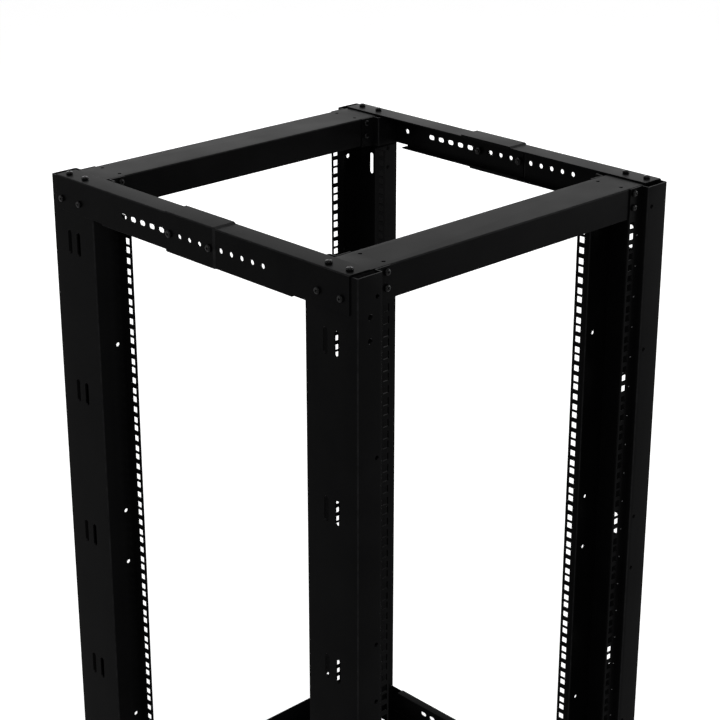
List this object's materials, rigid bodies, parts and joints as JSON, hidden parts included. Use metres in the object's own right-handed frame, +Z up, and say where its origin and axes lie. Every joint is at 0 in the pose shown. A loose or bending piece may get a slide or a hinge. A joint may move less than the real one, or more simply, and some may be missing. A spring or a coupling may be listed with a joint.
{
  "type": "four post open frame rack",
  "caption": "Open frame floor rack for rack-mount equipment: four folded sheet posts with square mounting holes, joined by cross beams and depth-adjustable side rails, on levelling feet.",
  "frame": {"origin": "on the floor, at the centre of the rack's plan", "axes": "+Z up, -Y towards the front, where the beam has the bare place for a name, +X to the right when seen from the front"},
  "size_m": [0.588, 0.611, 1.1029],
  "materials": {
    "black_powder_coat": "satin black powder coat",
    "zinc_steel": "zinc plated steel"
  },
  "bodies": {
    "root": {"front_left_post": "black_powder_coat", "front_left_foot": "zinc_steel", "front_right_post": "black_powder_coat", "front_right_foot": "zinc_steel", "rear_left_post": "black_powder_coat", "rear_left_foot": "zinc_steel", "rear_right_post": "black_powder_coat", "rear_right_foot": "zinc_steel", "top_front_beam": "black_powder_coat", "top_rear_beam": "black_powder_coat", "top_left_rail_front": "black_powder_coat", "top_left_rail_rear": "black_powder_coat", "top_right_rail_front": "black_powder_coat", "top_right_rail_rear": "black_powder_coat", "bottom_front_beam": "black_powder_coat", "bottom_rear_beam": "black_powder_coat", "bottom_left_rail_front": "black_powder_coat", "bottom_left_rail_rear": "black_powder_coat", "bottom_right_rail_front": "black_powder_coat", "bottom_right_rail_rear": "black_powder_coat"}
  },
  "joints": []
}
